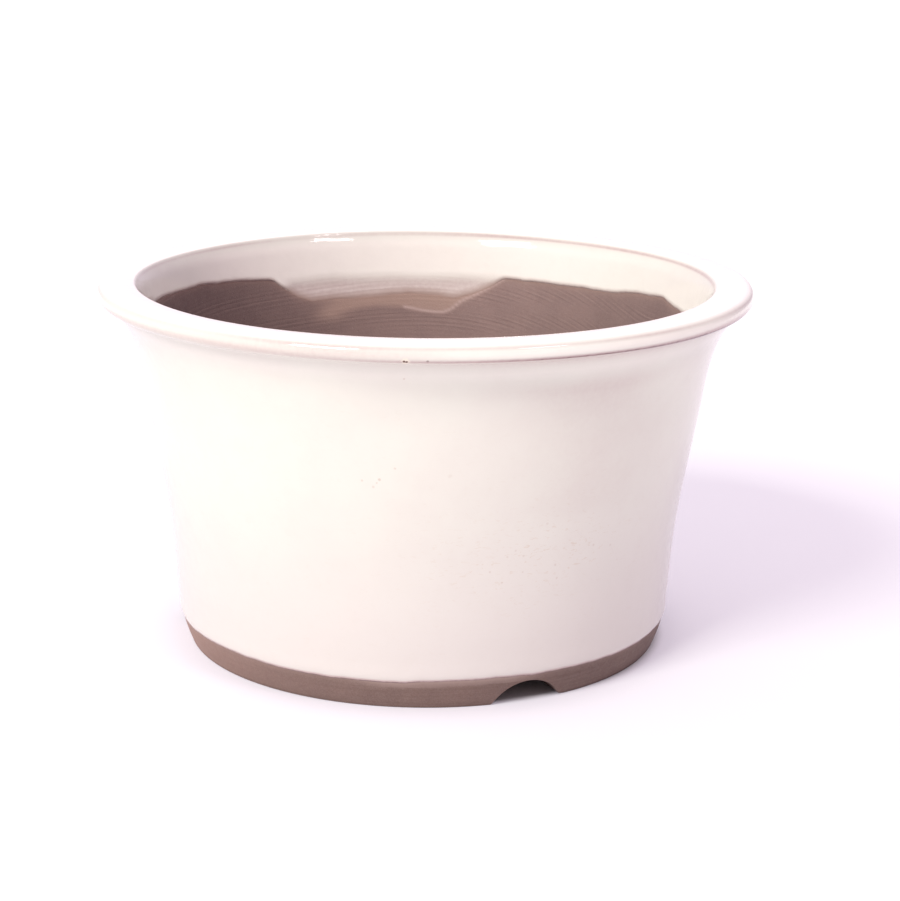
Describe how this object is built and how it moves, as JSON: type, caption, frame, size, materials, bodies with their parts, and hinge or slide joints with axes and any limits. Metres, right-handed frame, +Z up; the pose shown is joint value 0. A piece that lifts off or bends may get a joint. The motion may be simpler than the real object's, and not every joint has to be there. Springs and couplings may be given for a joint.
{
  "type": "bonsai pot",
  "caption": "Round glazed stoneware bonsai pot with a flared wall, rolled lip, drain hole and notched foot ring.",
  "frame": {"origin": "centre of the foot ring's bottom, on the surface that the pot stands on", "axes": "+Z up along the pot's axis of revolution; -Y towards the front; one notch in the foot is 24 degrees from the front towards +X"},
  "size_m": [0.1552, 0.1552, 0.0873],
  "materials": {
    "bare_clay_foot": "matte unglazed grey-brown stoneware, fine grain, turned and wiped smooth",
    "bare_clay": "matte unglazed brown stoneware with fine throwing ridges",
    "cream_glaze": "glossy cream-white glaze, breaking brown on edges"
  },
  "bodies": {
    "root": {"foot_ring": "bare_clay_foot", "floor_slab": "bare_clay", "pot_wall": "bare_clay", "rolled_lip": "bare_clay", "glaze_coat": "cream_glaze"}
  },
  "joints": []
}
